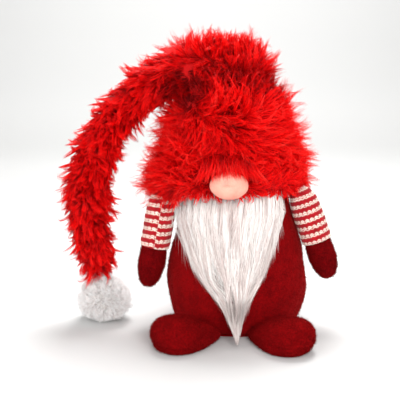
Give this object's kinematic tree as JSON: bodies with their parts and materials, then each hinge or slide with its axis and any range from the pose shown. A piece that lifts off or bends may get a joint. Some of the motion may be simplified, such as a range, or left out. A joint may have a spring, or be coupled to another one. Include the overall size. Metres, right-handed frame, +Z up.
{
  "type": "tomte gnome figurine",
  "caption": "Free-standing stuffed felt gnome with splayed feet, striped knitted arms, a long beard, and a fur hat whose long tail arches down to a pompom.",
  "frame": {"origin": "centre of the flat underside of the round base", "axes": "+Z up, -Y the way the face looks, +X to the right in a front view; the tail of the hat hangs on the -X side"},
  "size_m": [0.2939, 0.2145, 0.3136],
  "materials": {
    "felt": "dark red brushed felt",
    "mitten_felt": "dark red brushed felt",
    "striped_knit": "fine rib knit in cream and dark red stripes",
    "nose_jersey": "smooth skin-coloured jersey",
    "beard_pile": "long straight white pile",
    "beard_backing": "knitted backing cloth",
    "red_fur": "long wispy red pile",
    "white_pile": "soft off-white pile",
    "stuffing": "loose polyester fibre",
    "pouch": "plain woven pouch",
    "card": "grey-brown fibre board",
    "wire": "soft annealed wire",
    "thread": "doubled sewing thread"
  },
  "bodies": {
    "body": {"body_cover": "felt", "base_panel": "felt", "base_card": "card", "weight_bag": "pouch", "body_stuffing": "stuffing", "foot_left_cover": "felt", "foot_left_stuffing": "stuffing", "foot_right_cover": "felt", "foot_right_stuffing": "stuffing", "nose_cover": "nose_jersey", "nose_stuffing": "stuffing", "beard_top_strip": "beard_pile", "hat_crown": "red_fur", "crown_stuffing": "stuffing", "tail_root_fur": "red_fur", "tail_root_stuffing": "stuffing", "tail_root_wire": "wire"},
    "arm_left": {"arm_left_sleeve": "striped_knit", "arm_left_mitten": "mitten_felt", "arm_left_stuffing": "stuffing"},
    "arm_right": {"arm_right_sleeve": "striped_knit", "arm_right_mitten": "mitten_felt", "arm_right_stuffing": "stuffing"},
    "beard": {"beard_backing": "beard_backing", "beard_pile": "beard_pile"},
    "tail_1": {"tail_1_fur": "red_fur", "tail_1_stuffing": "stuffing", "tail_1_wire": "wire"},
    "tail_2": {"tail_2_fur": "red_fur", "tail_2_stuffing": "stuffing", "tail_2_wire": "wire"},
    "tail_3": {"tail_3_fur": "red_fur", "tail_3_stuffing": "stuffing", "tail_3_wire": "wire"},
    "tail_4": {"tail_4_fur": "red_fur", "tail_4_stuffing": "stuffing", "tail_4_wire": "wire"},
    "pompom": {"pompom": "white_pile", "pompom_tie": "thread"}
  },
  "joints": [
    {"name": "arm_left_swing", "type": "hinge", "parent": "body", "child": "arm_left", "pos_m": [-0.08, -0.016, 0.139], "axis": [-1, 0, 0], "range_deg": [-25, 60]},
    {"name": "arm_right_swing", "type": "hinge", "parent": "body", "child": "arm_right", "pos_m": [0.068, -0.024, 0.143], "axis": [-1, 0, 0], "range_deg": [-25, 60]},
    {"name": "beard_lift", "type": "hinge", "parent": "body", "child": "beard", "pos_m": [0, -0.0575, 0.144], "axis": [-1, 0, 0], "range_deg": [0, 55]},
    {"name": "tail_bend_1", "type": "hinge", "parent": "body", "child": "tail_1", "pos_m": [-0.103, 0, 0.255], "axis": [0, 1, 0], "range_deg": [0, 30]},
    {"name": "tail_bend_2", "type": "hinge", "parent": "tail_1", "child": "tail_2", "pos_m": [-0.139, 0, 0.216], "axis": [0, 1, 0], "range_deg": [0, 30]},
    {"name": "tail_bend_3", "type": "hinge", "parent": "tail_2", "child": "tail_3", "pos_m": [-0.159, 0, 0.168], "axis": [0, 1, 0], "range_deg": [-3, 30]},
    {"name": "tail_bend_4", "type": "hinge", "parent": "tail_3", "child": "tail_4", "pos_m": [-0.163, 0, 0.112], "axis": [0, 1, 0], "range_deg": [-5, 30]},
    {"name": "pompom_swing", "type": "hinge", "parent": "tail_4", "child": "pompom", "pos_m": [-0.154, 0, 0.057], "axis": [0, 1, 0], "range_deg": [-15, 25]}
  ]
}
